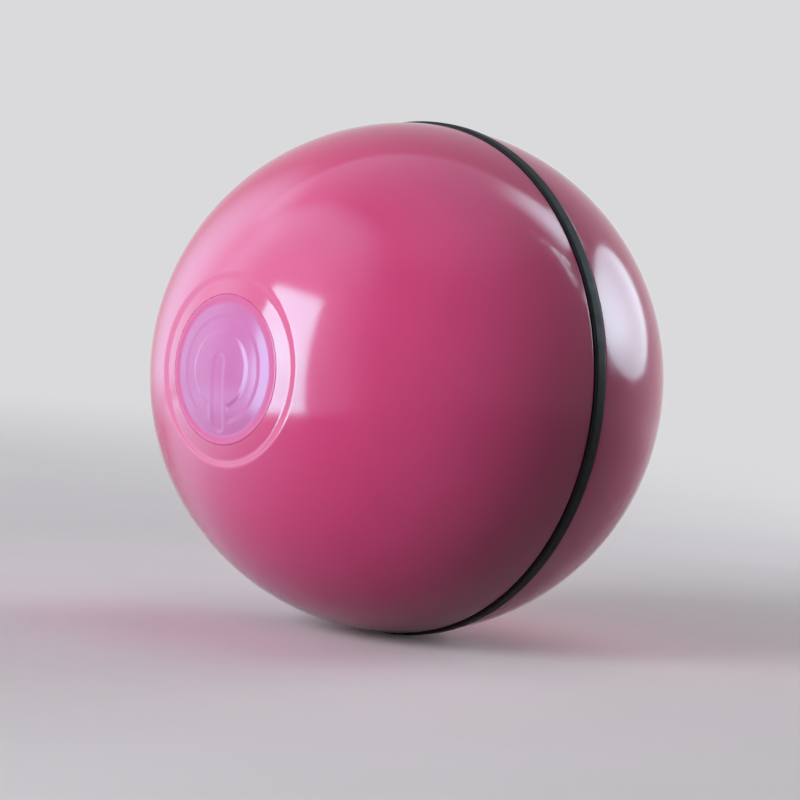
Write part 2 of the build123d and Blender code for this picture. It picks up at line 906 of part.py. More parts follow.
def weight_screw_places(z):
    """Places of the weight's screws at a height, under the walls of the motor's bay."""
    x = motor_bay_inner + boss_radius
    y = -motor_bay_front / 2
    return [(side * x, y, z) for side in (-1, 1)]


def make_chassis_frame():
    """Moulded cradle: front wall with the bush, shelf for the cell, motor bay and gear plate."""
    front_y = -front_wall_outside
    wall_y = -front_wall_inside
    round_part = rod(front_wall_radius, front_y, wall_y)
    lower_part = block(-bay_outer, bay_outer, front_y, wall_y, shelf_bottom, 0)
    frame = round_part + (lower_part & ball(chassis_radius))
    frame += make_gear_plate()
    frame += block(-bay_outer, bay_outer, wall_y, plate_rear, shelf_bottom, cell_bottom)
    for side in (-1, 1):
        x_from, x_to = sorted((side * bay_inner, side * bay_outer))
        frame += block(x_from, x_to, wall_y, plate_rear, shelf_bottom, board_bottom)
        x_from, x_to = sorted((side * motor_bay_inner, side * motor_bay_outer))
        frame += block(x_from, x_to, -motor_bay_front, plate_rear, weight_top, shelf_bottom)
    for x, y, z in board_screw_places(board_bottom):
        pilot = Cylinder(board_screw[2], 2 * board_screw[3])
        post_height = board_bottom - shelf_bottom
        post = Cylinder(boss_radius, post_height)
        frame += Pos(x, y, (board_bottom + shelf_bottom) / 2) * post
        frame -= Pos(x, y, z) * pilot
    for x, y, z in weight_screw_places(weight_top):
        post_height = shelf_bottom - weight_top
        frame += Pos(x, y, (shelf_bottom + weight_top) / 2) * Cylinder(boss_radius, post_height)
        frame -= Pos(x, y, z) * Cylinder(weight_screw[2], 2 * weight_screw[3])
    for x, z in ear_places():
        frame -= rod(case_screw[2], plate_front - overrun, plate_rear + overrun, x, z)
    opening = front_journal_radius + journal_fit + bush_wall
    return frame - rod(opening, front_y - overrun, wall_y + overrun)


def make_counterweight():
    """Steel weight under the motor, its underside following the ball."""
    bulk = block(
        -weight_half_width, weight_half_width, -weight_front, weight_rear, -ball_radius, weight_top
    )
    weight = bulk & ball(chassis_radius)
    seat_z = weight_top - weight_screw[3] / 2
    for x, y, _ in weight_screw_places(weight_top):
        weight -= Pos(x, y, weight_top) * Cylinder(weight_screw[2] + screw_fit, 2 * ball_radius)
        seat = Cylinder(weight_screw[0] + screw_fit, ball_radius)
        weight -= Pos(x, y, seat_z - ball_radius / 2) * seat
    return weight


def make_motor_can():
    """Steel motor can with flat top and bottom and round sides, bored for its shaft."""
    section = Circle(motor_width / 2) & Rectangle(motor_width, motor_height)
    can = slab(Pos(0, motor_z) * section, motor_back, plate_front)
    can += rod(motor_boss_radius, plate_front, plate_front + motor_boss_height, 0, motor_z)
    bore = motor_shaft_radius + motor_shaft_room
    can -= rod(bore, motor_back - overrun, plate_front + motor_boss_height + overrun, 0, motor_z)
    for side in (-1, 1):
        x = side * motor_screw_spacing / 2
        depth = motor_screw[3] - plate_thickness
        can -= rod(motor_screw[2], plate_front - depth, plate_front + overrun, x, motor_z)
    return can


def make_motor_endbell():
    """Plastic end of the motor, with a blind hole for the shaft's end."""
    start = motor_back - endbell_length
    bell = rod(endbell_radius, start, motor_back, 0, motor_z)
    hole = motor_shaft_radius + motor_shaft_room
    return bell - rod(hole, start + endbell_length / 2, motor_back + overrun, 0, motor_z)


def make_motor_terminals():
    """Two solder tabs on the motor's plastic end."""
    tabs = []
    end = motor_back - endbell_length
    for side in (-1, 1):
        x = side * terminal_spacing / 2
        half_width = terminal_width / 2
        z = motor_z - terminal_thickness / 2
        tab = block(x - half_width, x + half_width, end - terminal_length, end, z, z + terminal_thickness)
        tabs.append(tab)
    return Compound(children=tabs)


def make_motor_shaft():
    """Motor shaft, from inside the plastic end to the end of its pinion."""
    start = motor_back - endbell_length / 2 + running_gap
    return rod(motor_shaft_radius, start, motor_pinion_end, 0, motor_z)


def make_battery_cell():
    """Flat lithium pouch cell with rounded long edges."""
    y_from = cell_rear - cell_length
    cell = block(-cell_width / 2, cell_width / 2, y_from, cell_rear, cell_bottom, cell_top)
    return fillet(cell.edges().filter_by(Axis.Y), cell_round)


def make_battery_pad():
    """Foam pad between the cell and the board."""
    middle = cell_rear - cell_length / 2
    half_length = pad_length / 2
    half_width = pad_width / 2
    return block(-half_width, half_width, middle - half_length, middle + half_length, cell_top, board_bottom)


def make_circuit_board():
    """Board with a tongue to the rear that carries the charging socket."""
    half_width = board_half_width
    board = block(-half_width, half_width, -board_front, board_rear, board_bottom, board_top)
    board = fillet(board.edges().filter_by(Axis.Z), boss_radius)
    board += block(-board_tongue_half, board_tongue_half, 0, board_tongue_end, board_bottom, board_top)
    for x, y, z in board_screw_places(board_bottom):
        board -= Pos(x, y, z) * Cylinder(board_screw[2] + screw_fit, 2 * board_thickness + overrun)
    return board


def make_tact_switch():
    """Side-facing switch on the board's front edge, with a hole for its plunger."""
    half_width = switch_width / 2
    body = block(-half_width, half_width, -switch_front, -switch_back, board_top, board_top + switch_height)
    hole = plunger_radius + plunger_room
    hole_end = -switch_front + switch_depth / 2 + button_travel
    return body - rod(hole, -switch_front - overrun, hole_end)


def make_switch_plunger():
    """Plunger that the button's stem presses."""
    return rod(plunger_radius, -plunger_tip, -switch_front + switch_depth / 2)


def usb_outline(inset):
    """Rounded outline of the socket's metal shell, drawn in by an inset."""
    height = usb_height - 2 * inset
    return Pos(0, usb_z) * SlotOverall(usb_width - 2 * inset, height)


def make_usb_socket():
    """Metal shell of the charging socket, closed at its back."""
    socket = slab(usb_outline(0), usb_back, usb_mouth)
    return socket - slab(usb_outline(usb_shell_wall), usb_back + usb_shell_wall, usb_mouth + overrun)


def make_usb_tongue():
    """Contact tongue inside the charging socket, with its base."""
    start = usb_back + usb_shell_wall
    base_end = usb_mouth - usb_tongue_length
    tongue = slab(usb_outline(usb_shell_wall), start, base_end)
    blade = Pos(0, usb_z) * Rectangle(usb_tongue_width, usb_tongue_height)
    return tongue + slab(blade, start, usb_mouth - usb_shell_wall)


# Parts on the board: X and Y of the middle, then length in X, length in Y and height
chip_sizes = {
    "controller_chip": (-6.2, -5.5, 6.0, 5.0, 1.5),
    "driver_chip": (7.4, 3.5, 3.9, 4.9, 1.5),
    "charger_chip": (-1.2, 10.6, 3.0, 3.0, 1.1),
    "inductor": (7.6, -5.6, 4.0, 4.0, 2.1),
}
chip_chamfer = 0.25
lead_pitch = 1.27
chip_lead_width = 0.4
chip_lead_length = 0.9
chip_lead_height = 0.3

capacitor_radius = 2.0
capacitor_height = 5.4
capacitor_base = 0.7
capacitor_places = ((-2.2, 3.6), (-7.6, 3.6))

resistor_size = (1.6, 0.8, 0.5)
resistor_pitch = 1.7
resistor_row = (2.4, -9.6)
resistors = 6

led_size = (3.5, 2.8, 1.9)
led_lens_radius = 1.15
led_lens_height = 0.35
led_y = -5.4

sensor_radius = 1.7
sensor_length = 8.5
sensor_cap = 1.0
sensor_y = -0.9

connector_size = (4.4, 4.0, 3.4)
connector_inset = 2.05
connector_x = bay_inner - connector_inset
connector_y = -13.2
connector_wall = 0.5


def on_board(x, y, length, width, height):
    """Box that stands on the board, about a place given as X and Y."""
    half_length, half_width = length / 2, width / 2
    top = board_top + height
    return block(x - half_length, x + half_length, y - half_width, y + half_width, board_top, top)


def make_chip(name, leads_per_side):
    """Chip or coil on the board, with its short leads on two sides."""
    x, y, length, width, height = chip_sizes[name]
    body = on_board(x, y, length, width, height)
    body = chamfer(body.faces().sort_by(Axis.Z)[-1].edges(), chip_chamfer)
    for index in range(leads_per_side):
        lead_y = y + (index - (leads_per_side - 1) / 2) * lead_pitch
        reach = length / 2 + chip_lead_length
        half = chip_lead_width / 2
        top = board_top + chip_lead_height
        body += block(x - reach, x + reach, lead_y - half, lead_y + half, board_top, top)
    return body


def make_capacitors():
    """Two round capacitors on square bases."""
    group = []
    for x, y in capacitor_places:
        base = on_board(x, y, 2 * capacitor_radius, 2 * capacitor_radius, capacitor_base)
        can = Cylinder(capacitor_radius, capacitor_height)
        group.append(base + Pos(x, y, board_top + capacitor_height / 2) * can)
    return Compound(children=group)


def make_resistors():
    """Row of small resistors."""
    length, width, height = resistor_size
    group = []
    for index in range(resistors):
        x = resistor_row[0] - index * resistor_pitch
        y = resistor_row[1]
        group.append(on_board(x, y, width, length, height))
    return Compound(children=group)


def make_status_leds():
    """Two lamps near the board's front corners."""
    length, width, height = led_size
    group = []
    for x in (-board_screw_x, board_screw_x):
        body = on_board(x, led_y, width, length, height)
        lens = Pos(x, led_y, board_top + height) * Cylinder(led_lens_radius, 2 * led_lens_height)
        group.append(body + lens)
    return Compound(children=group)


def make_motion_sensor():
    """Small can that senses knocks, lying across the board."""
    z = board_top + sensor_radius
    can = Cylinder(sensor_radius, sensor_length)
    caps = Cylinder(sensor_radius - sensor_cap / 4, sensor_length + sensor_cap)
    return Pos(0, sensor_y, z) * Rot(0, 90, 0) * (can + caps)


def make_battery_connector():
    """Open-topped connector for the cell's leads."""
    length, width, height = connector_size
    x_half, y_half = length / 2, width / 2
    x, y, wall = connector_x, connector_y, connector_wall
    body = block(x - x_half, x + x_half, y - y_half, y + y_half, board_top, board_top + height)
    hollow = block(
        x - x_half + wall, x + x_half - wall, y - y_half + wall, y + y_half - wall,
        board_top + wall, board_top + height + overrun,
    )
    return body - hollow


def lead(points, bends):
    """Insulated lead along straight runs and round bends, with few sides to keep it light."""
    path = FilletPolyline(*points, radius=bends)
    outline = RegularPolygon(lead_radius, lead_sides)
    section = Plane(origin=path @ 0, z_dir=path % 0) * outline
    return sweep(section, path)


def make_battery_leads():
    """Two leads from the cell's front end, up past the board into the connector."""
    start_y = cell_rear - cell_length
    front_y = -(board_front + front_wall_inside) / 2
    z = (cell_top + cell_bottom) / 2
    top = board_top + connector_size[2] + lead_drop
    inside = board_top + 2 * connector_wall
    pair = []
    for side in (-1, 1):
        x = connector_x + side * connector_size[0] / 5
        bend = lead_radius + lead_radius / 2
        points = (
            (x, start_y, z), (x, front_y, z), (x, front_y, top),
            (x, connector_y, top), (x, connector_y, inside),
        )
        pair.append(lead(points, (bend, bend, lead_drop)))
    return Compound(children=pair)


def make_motor_leads():
    """Two leads from the motor's tabs, round the cell's bay, up to the board's underside."""
    tab_y = motor_back - endbell_length - terminal_length
    run_y = tab_y - lead_bend - lead_radius
    outer_x = (bay_outer + board_half_width) / 2 + lead_radius / 2
    pair = []
    for side in (-1, 1):
        x = side * terminal_spacing / 2
        points = (
            (x, tab_y, motor_z), (x, run_y, motor_z),
            (side * outer_x, run_y, motor_z), (side * outer_x, run_y, board_bottom),
        )
        pair.append(lead(points, (lead_bend, lead_bend)))
    return Compound(children=pair)


def make_port_plug():
    """Soft plug with a domed head and a hollow foot that fills the charging port."""
    head_foot = (plug_head_radius, plug_seat_level)
    head_edge = (plug_head_radius, level_at(plug_dome_radius, plug_head_radius))
    pole = (0, half_offset + plug_dome_radius)
    foot_radius_out = rear_bore_radius - plug_fit
    foot_end = plug_seat_level - plug_reach
    hollow_radius = foot_radius_out - plug_wall
    hollow_top = plug_seat_level + plug_seat_depth - plug_cap
    edges = [
        shell_arc(plug_dome_radius, pole, head_edge),
        Polyline(
            head_edge,
            head_foot,
            (foot_radius_out, plug_seat_level),
            (foot_radius_out, foot_end),
            (hollow_radius, foot_end),
            (hollow_radius, hollow_top),
            (0, hollow_top),
            pole,
        ),
    ]
    section = rounded(make_face(edges), (head_edge,), recess_round)
    return revolve(section, Axis.Y)


def make_all():
    """Every sub-part under its name."""
    case_places = [(x, ear_top, z) for x, z in ear_places()]
    motor_places = [(side * motor_screw_spacing / 2, plate_rear, motor_z) for side in (-1, 1)]
    weight_seat = weight_top - weight_screw[3] / 2
    return {
        "front_shell": make_front_shell(),
        "rear_shell": make_rear_shell(),
        "grip_band": make_grip_band(),
        "power_button": make_power_button(),
        "button_spring": make_button_spring(),
        "front_hub": make_front_hub(),
        "front_hub_screws": make_hub_screws(-1),
        "rear_hub": make_rear_hub(),
        "rear_hub_screws": make_hub_screws(1),
        "drive_gear": make_drive_gear(),
        "port_plug": make_port_plug(),
        "chassis_frame": make_chassis_frame(),
        "gearbox_cover": make_gearbox_cover(),
        "gearbox_screws": screws_at(case_screw, case_places, Rot(-90, 0, 0)),
        "front_bush": make_front_bush(),
        "rear_bush": make_rear_bush(),
        "shaft_bush": make_shaft_bush(),
        "motor_can": make_motor_can(),
        "motor_endbell": make_motor_endbell(),
        "motor_terminals": make_motor_terminals(),
        "motor_screws": screws_at(motor_screw, motor_places, Rot(-90, 0, 0)),
        "motor_leads": make_motor_leads(),
        "motor_shaft": make_motor_shaft(),
        "motor_pinion": make_motor_pinion(),
        "first_gear": make_first_gear(),
        "first_gear_pin": make_first_gear_pin(),
        "second_gear": make_second_gear(),
        "second_shaft": make_second_shaft(),
        "output_pinion": make_output_pinion(),
        "counterweight": make_counterweight(),
        "weight_screws": screws_at(weight_screw, weight_screw_places(weight_seat), Rot(180, 0, 0)),
        "battery_cell": make_battery_cell(),
        "battery_pad": make_battery_pad(),
        "battery_leads": make_battery_leads(),
        "battery_connector": make_battery_connector(),
        "circuit_board": make_circuit_board(),
        "board_screws": screws_at(board_screw, board_screw_places(board_top), Rot(0, 0, 0)),
        "tact_switch": make_tact_switch(),
        "switch_plunger": make_switch_plunger(),
        "usb_socket": make_usb_socket(),
        "usb_tongue": make_usb_tongue(),
        "controller_chip": make_chip("controller_chip", 4),
        "driver_chip": make_chip("driver_chip", 4),
        "charger_chip": make_chip("charger_chip", 2),
        "inductor": make_chip("inductor", 0),
        "capacitors": make_capacitors(),
        "resistors": make_resistors(),
        "status_leds": make_status_leds(),
        "motion_sensor": make_motion_sensor(),
    }


os.makedirs("parts", exist_ok=True)
for name, piece in make_all().items():
    export_step(piece, f"parts/{name}.step")
    print(name, len(piece.solids()), "solids")
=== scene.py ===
import json
from math import acos, atan2, cos, degrees, hypot, pi, radians, sin, sqrt

import bmesh
import bpy
from mathutils import Matrix, Vector


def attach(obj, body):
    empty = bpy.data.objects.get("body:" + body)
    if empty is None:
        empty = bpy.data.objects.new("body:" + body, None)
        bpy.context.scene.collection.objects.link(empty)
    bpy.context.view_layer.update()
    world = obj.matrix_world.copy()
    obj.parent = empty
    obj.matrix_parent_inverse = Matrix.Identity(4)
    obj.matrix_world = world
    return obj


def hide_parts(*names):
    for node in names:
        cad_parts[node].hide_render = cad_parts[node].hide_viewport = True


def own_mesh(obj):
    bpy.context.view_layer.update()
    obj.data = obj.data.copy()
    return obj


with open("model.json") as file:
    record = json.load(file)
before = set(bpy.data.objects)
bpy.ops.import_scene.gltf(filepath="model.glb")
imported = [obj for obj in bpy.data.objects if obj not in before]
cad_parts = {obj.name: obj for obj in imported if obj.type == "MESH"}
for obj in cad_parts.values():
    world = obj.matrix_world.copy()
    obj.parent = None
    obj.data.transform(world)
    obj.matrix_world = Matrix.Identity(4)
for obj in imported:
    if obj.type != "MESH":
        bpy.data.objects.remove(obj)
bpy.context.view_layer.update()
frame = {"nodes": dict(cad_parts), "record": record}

# The self-rolling cat ball's outer pieces, and the materials, lights and camera for all of it. The
# pieces' sizes are in mm, as in the part's source. A level is a distance outward along the ball's
# axis, and each half's spheres have their centre on it at level OFFSET. The button's pole is at -Y
# and the charging port's pole at +Y.
MM = 0.001
BALL, OFFSET, SPLIT = 32.0, 0.3, 0.9
BAND, BAND_CROWN = 32.3, 0.02
FOOT_OUT, FOOT_IN, FOOT_HALF = 30.745, 29.595, 1.6
SEAM = 30.795
RECESS_BALL, RECESS_STEP = 31.7, (10.55, 11.85)
HOLE, SEAT_LEVEL = 8.95, 28.008
BUTTON, BUTTON_WALL, DOME = 8.93, 1.5, 31.45
RIM_STEP, RIM_DROP = (7.7, 8.9), 0.01
FLANGE, FLANGE_TOP, FLANGE_LOW = 10.2, 27.978, 27.178
STEM, STEM_END = 1.8, 18.6
PORT_HOLE, PORT_SEAT, PORT_BORE = 8.72, 29.889, 7.2
CHIMNEY, CHIMNEY_BALL, HUB_LEVEL = 8.4, 30.0, 24.6
NOTCH, NOTCH_LEVEL, NOTCH_SOFT, NOTCH_REACH = 2.6, 33.189, 0.12, 10.9
PLUG, PLUG_FOOT, PLUG_END, PLUG_HOLLOW, PLUG_ROOF = 8.6, 7.08, 25.889, 5.78, 29.489
RING, STROKE, GAP_HALF = 5.4, 1.8, 1.65
BAR_TOP, BAR_LOW, BAR_WIDTH = 1.8, 7.4, 1.8
SYMBOL_DEPTH, SYMBOL_SOFT = 0.08, 0.32
WIRE, COIL, COIL_FOOT, COIL_TOP, COIL_TURNS, COIL_PRESS = 0.25, 3.0, 24.595, 28.994, 3.5, 0.55

# How many steps each piece has around the axis, and each softened corner across it
FRONT_STEPS, REAR_STEPS, BAND_STEPS, PLUG_STEPS, BUTTON_STEPS = 240, 360, 360, 192, 400
CORNER_STEPS = 10

# A CAD face whose centre lies beyond this distance from its half's centre belongs to the outside,
# and a hair's room keeps the choice of faces and points clear of rounding.
SKIN, HAIR = 31.5, 0.02


# ---------------------------------------------------------------- turned outlines


def level_at(radius, distance):
    """Level of a sphere at a distance from the axis."""
    return OFFSET + sqrt(radius * radius - distance * distance)


def smooth(share):
    share = max(0.0, min(1.0, share))
    return share * share * (3 - 2 * share)


def line(a, b):
    """A straight run of an outline: its length, and its distance, level and direction for s from 0
    to 1."""
    dr, dl = b[0] - a[0], b[1] - a[1]
    return (lambda s: (a[0] + s * dr, a[1] + s * dl, dr, dl)), hypot(dr, dl)


def arc(radius, a, b):
    """A run along a sphere."""
    start, end = (atan2(p[0], p[1] - OFFSET) for p in (a, b))
    turn = end - start

    def at(s):
        t = start + s * turn
        across, along = radius * sin(t), radius * cos(t)
        return across, OFFSET + along, turn * along, -turn * across

    return at, abs(turn) * radius


def stepped_level(distance, inner, outer, step, drop=0.0):
    """Level of a face that rises over the step from one sphere to drop below another."""
    rise = smooth((distance - step[0]) / (step[1] - step[0]))
    return (1 - rise) * level_at(inner, distance) + rise * (level_at(outer, distance) - drop)


def stepped(start, end, *face):
    """A run along such a face, between two distances."""
    near = 0.001

    def at(s):
        r = start + s * (end - start)
        slope = (stepped_level(r + near, *face) - stepped_level(r - near, *face)) / (2 * near)
        return r, stepped_level(r, *face), end - start, slope * (end - start)

    return at, abs(end - start)


def section(parts):
    """Strips of (distance, level, direction) along an outline. Each part has its run, how far the
    corner before it is cut back into the run before it and into its own, and its points' spacing.
    Where the cut is 0 the corner stays sharp and a new strip starts."""
    strips, strip = [], []
    for i, ((at, length), (cut_before, cut_start), spacing) in enumerate(parts):
        cut_end = parts[i + 1][1][0] if i + 1 < len(parts) else 0
        first, last = cut_start / length, 1 - cut_end / length
        if cut_before > 0:
            before, full = parts[i - 1][0]
            a, c, b = before(1 - cut_before / full), at(0), at(first)
            for k in range(1, CORNER_STEPS):
                t = k / CORNER_STEPS
                u, v, w = (1 - t) ** 2, 2 * t * (1 - t), t * t
                strip.append((
                    u * a[0] + v * c[0] + w * b[0],
                    u * a[1] + v * c[1] + w * b[1],
                    (1 - t) * (c[0] - a[0]) + t * (b[0] - c[0]),
                    (1 - t) * (c[1] - a[1]) + t * (b[1] - c[1]),
                ))
        elif strip:
            strips.append(strip)
            strip = []
        steps = max(1, round((last - first) * length / spacing))
        strip += [at(first + (last - first) * k / steps) for k in range(steps + 1)]
    strips.append(strip)
    return strips


def unit(x, y, z):
    size = sqrt(x * x + y * y + z * z)
    return (x / size, y / size, z / size)


class Sheet:
    """Vertices, faces and exact corner normals, gathered piece by piece in mm."""

    def __init__(self):
        self.points, self.faces, self.normals = [], [], []
        self.found = {}

    def ring(self, distance, level, side, steps):
        """The vertices around the axis at that distance and level, made unless they are there."""
        key = (round(distance, 5), round(level, 5), side, steps)
        if key not in self.found:
            first = len(self.points)
            if distance < 1e-6:
                self.points.append((0, side * level, 0))
                self.found[key] = [first] * steps
            else:
                for k in range(steps):
                    t = 2 * pi * k / steps
                    self.points.append((distance * sin(t), side * level, distance * cos(t)))
                self.found[key] = [first + k for k in range(steps)]
        return self.found[key]

    def turn(self, strips, side, steps, out=-1):
        """Turns the strips about the axis. side is -1 for the button's half and 1 for the port's,
        and out is -1 where the strips run towards the pole along the outside."""
        for strip in strips:
            for a, b in zip(strip, strip[1:]):
                low, high = (self.ring(p[0], p[1], side, steps) for p in (a, b))
                for k in range(steps):
                    j = (k + 1) % steps
                    corners = [(low[k], a, k), (low[j], a, j), (high[j], b, j), (high[k], b, k)]
                    if low[k] == low[j]:
                        corners.pop(0)
                    if high[k] == high[j]:
                        corners.pop()
                    if side * out > 0:
                        corners.reverse()
                    self.faces.append([c[0] for c in corners])
                    for _, p, m in corners:
                        t = 2 * pi * m / steps
                        nr, nl = out * -p[3], out * p[2]
                        self.normals.append(unit(nr * sin(t), side * nl, nr * cos(t)))

    def sculpt(self, side, level, picked, smoothed, step):
        """Moves the points that picked(x, level, z) names to level(x, z). Those that smoothed(x, z)
        names get the normals of that surface, taken over a step in mm."""
        moved = set()
        for i, (x, y, z) in enumerate(self.points):
            if picked(x, side * y, z):
                self.points[i] = (x, side * level(x, z), z)
                if smoothed(x, z):
                    moved.add(i)
        corner = 0
        for face in self.faces:
            for i in face:
                if i in moved:
                    x, _, z = self.points[i]
                    dx = (level(x + step, z) - level(x - step, z)) / (2 * step)
                    dz = (level(x, z + step) - level(x, z - step)) / (2 * step)
                    self.normals[corner] = unit(-dx, side, -dz)
                corner += 1

    def add_mesh(self, mesh, keep):
        """Adds the faces of a CAD mesh whose centre, in mm, keep lets through."""
        bm = bmesh.new()
        bm.from_mesh(mesh)
        bmesh.ops.remove_doubles(bm, verts=bm.verts, dist=1e-7)
        gone = [f for f in bm.faces if not keep(f.calc_center_median() / MM)]
        bmesh.ops.delete(bm, geom=gone, context="FACES")
        first = len(self.points)
        bm.verts.index_update()
        self.points += [tuple(v.co / MM) for v in bm.verts]
        for f in bm.faces:
            self.faces.append([first + v.index for v in f.verts])
            self.normals += [(0, 0, 0)] * len(f.verts)
        bm.free()

    def piece(self, name, body, slot, nodes):
        """The sheet as an object on that body, in place of those CAD nodes."""
        mesh = bpy.data.meshes.new(name)
        mesh.from_pydata([tuple(c * MM for c in p) for p in self.points], [], self.faces)
        mesh.validate(clean_customdata=False)
        mesh.shade_smooth()
        mesh.set_sharp_from_angle(angle=radians(40))
        mesh.normals_split_custom_set(self.normals)
        made = bpy.data.objects.new(name, mesh)
        bpy.context.scene.collection.objects.link(made)
        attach(made, body)
        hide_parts(*nodes)
        return made


# ---------------------------------------------------------------- the outer pieces


def rim():
    """The edge of a half's outside at the band."""
    return sqrt(BALL**2 - (SPLIT - OFFSET) ** 2), SPLIT


def is_turned(distance, level):
    """Whether a CAD face there is on the outside or on the seam's wall, which are turned anew."""
    return hypot(distance, level - OFFSET) > SKIN or (
        0 < level < SPLIT + HAIR and distance > SEAM + HAIR)


def make_front_shell():
    """The pink half with the recess: its outside is turned, its inside comes from the CAD piece."""
    start = RECESS_STEP[1] + 0.1
    lip = (HOLE, level_at(RECESS_BALL, HOLE))
    sheet = Sheet()
    sheet.turn(section([
        (line((SEAM, SPLIT), rim()), (0, 0), 0.4),
        (arc(BALL, rim(), (start, level_at(BALL, start))), (0.35, 0.4), 0.5),
        (stepped(start, HOLE, RECESS_BALL, BALL, RECESS_STEP), (0.01, 0.01), 0.07),
        (line(lip, (HOLE, SEAT_LEVEL)), (0.07, 0.07), 0.6),
    ]), -1, FRONT_STEPS)

    def inside(p):
        distance, level = hypot(p.x, p.z), -p.y
        in_hole = distance < HOLE + HAIR and level > SEAT_LEVEL + HAIR
        return not (in_hole or is_turned(distance, level))

    sheet.add_mesh(frame["nodes"]["front_shell"].data, inside)
    return sheet.piece("front_half", "shell", "pink_shell", ["front_shell"])


def notch_level(x, z):
    """Level of the ball's outside with the nail notch melted into it."""
    outside = level_at(BALL, hypot(x, z))
    gap = NOTCH**2 - x * x - (z - PORT_HOLE) ** 2
    if gap <= 0:
        return outside
    low = NOTCH_LEVEL - sqrt(gap)
    mix = max(0.0, min(1.0, 0.5 + 0.5 * (outside - low) / NOTCH_SOFT))
    return outside + (low - outside) * mix - NOTCH_SOFT * mix * (1 - mix)


def make_rear_shell():
    """The pink half with the charging port, its nail notch and its bore."""
    edge = (PORT_HOLE, level_at(BALL, PORT_HOLE))
    near = (NOTCH_REACH, level_at(BALL, NOTCH_REACH))
    sheet = Sheet()
    sheet.turn(section([
        (line((SEAM, SPLIT), rim()), (0, 0), 0.4),
        (arc(BALL, rim(), near), (0.35, 0.4), 0.5),
        (arc(BALL, near, edge), (0.01, 0.01), 0.11),
        (line(edge, (PORT_HOLE, PORT_SEAT)), (0.25, 0.25), 0.11),
        (line((PORT_HOLE, PORT_SEAT), (PORT_BORE, PORT_SEAT)), (0.08, 0.08), 0.3),
        (line((PORT_BORE, PORT_SEAT), (PORT_BORE, HUB_LEVEL)), (0.12, 0.12), 1.0),
        (line((PORT_BORE, HUB_LEVEL), (CHIMNEY, HUB_LEVEL)), (0, 0), 0.4),
        (line((CHIMNEY, HUB_LEVEL), (CHIMNEY, level_at(CHIMNEY_BALL, CHIMNEY))), (0, 0), 1.0),
    ]), 1, REAR_STEPS)

    def in_notch(x, level, z):
        return (
            level > PORT_SEAT + HAIR
            and hypot(x, z) > PORT_HOLE - HAIR
            and hypot(x, z - PORT_HOLE) < NOTCH
            and notch_level(x, z) < level
        )

    sheet.sculpt(1, notch_level, in_notch, lambda x, z: hypot(x, z) > PORT_HOLE + HAIR, 0.01)

    def inside(p):
        distance, level = hypot(p.x, p.z), p.y
        if distance < CHIMNEY + HAIR or is_turned(distance, level):
            return False
        from_notch = hypot(p.x, p.z - PORT_HOLE, level - NOTCH_LEVEL)
        if distance < PORT_HOLE + HAIR or from_notch < NOTCH + HAIR:
            from_centre = hypot(distance, level - OFFSET)
            return level < PORT_SEAT - HAIR and from_centre < CHIMNEY_BALL + HAIR
        return True

    sheet.add_mesh(frame["nodes"]["rear_shell"].data, inside)
    return sheet.piece("rear_half", "shell", "pink_shell", ["rear_shell"])


def make_band():
    """The soft black band, its tread slightly crowned and its foot held by the two halves."""
    side = BAND - BAND_CROWN
    corners = [
        (FOOT_OUT, -SPLIT), (side, -SPLIT), (BAND, 0), (side, SPLIT), (FOOT_OUT, SPLIT),
        (FOOT_OUT, FOOT_HALF), (FOOT_IN, FOOT_HALF), (FOOT_IN, -FOOT_HALF), (FOOT_OUT, -FOOT_HALF),
    ]
    cuts = [0, 0.35, 0.45, 0.35, 0, 0, 0, 0, 0]
    sheet = Sheet()
    sheet.turn(section([
        (line(a, b), (cut, cut), 0.8) for a, b, cut in zip(corners, corners[1:] + corners[:1], cuts)
    ]), 1, BAND_STEPS)
    return sheet.piece("band", "shell", "black_band", ["grip_band"])


def make_plug():
    """The soft plug of the charging port."""
    head = (PLUG, level_at(DOME, PLUG))
    sheet = Sheet()
    sheet.turn(section([
        (arc(DOME, (0, OFFSET + DOME), head), (0, 0), 0.4),
        (line(head, (PLUG, PORT_SEAT)), (0.35, 0.25), 0.3),
        (line((PLUG, PORT_SEAT), (PLUG_FOOT, PORT_SEAT)), (0.12, 0.12), 0.5),
        (line((PLUG_FOOT, PORT_SEAT), (PLUG_FOOT, PLUG_END)), (0.15, 0.15), 1.5),
        (line((PLUG_FOOT, PLUG_END), (PLUG_HOLLOW, PLUG_END)), (0.3, 0.3), 0.5),
        (line((PLUG_HOLLOW, PLUG_END), (PLUG_HOLLOW, PLUG_ROOF)), (0.3, 0.3), 1.5),
        (line((PLUG_HOLLOW, PLUG_ROOF), (0, PLUG_ROOF)), (0.3, 0.3), 1.5),
    ]), 1, PLUG_STEPS, out=1)
    return sheet.piece("plug", "plug", "pink_silicone", ["port_plug"])


def symbol_gap(x, z):
    """Distance from the power symbol's outline in mm, negative inside it. The bar points down."""
    ring = abs(hypot(x, z) - RING) - STROKE / 2
    opening = max(abs(x) - GAP_HALF, z)
    half = BAR_WIDTH / 2
    middle = max(-BAR_LOW + half, min(BAR_TOP - half, z))
    return min(max(ring, -opening), hypot(x, z - middle) - half)


def button_level(x, z):
    """Level of the button's face: a dome with a soft rim, and the symbol pressed into it."""
    sink = SYMBOL_DEPTH * smooth((SYMBOL_SOFT - symbol_gap(x, z)) / (2 * SYMBOL_SOFT))
    return stepped_level(hypot(x, z), DOME, RECESS_BALL, RIM_STEP, RIM_DROP) - sink


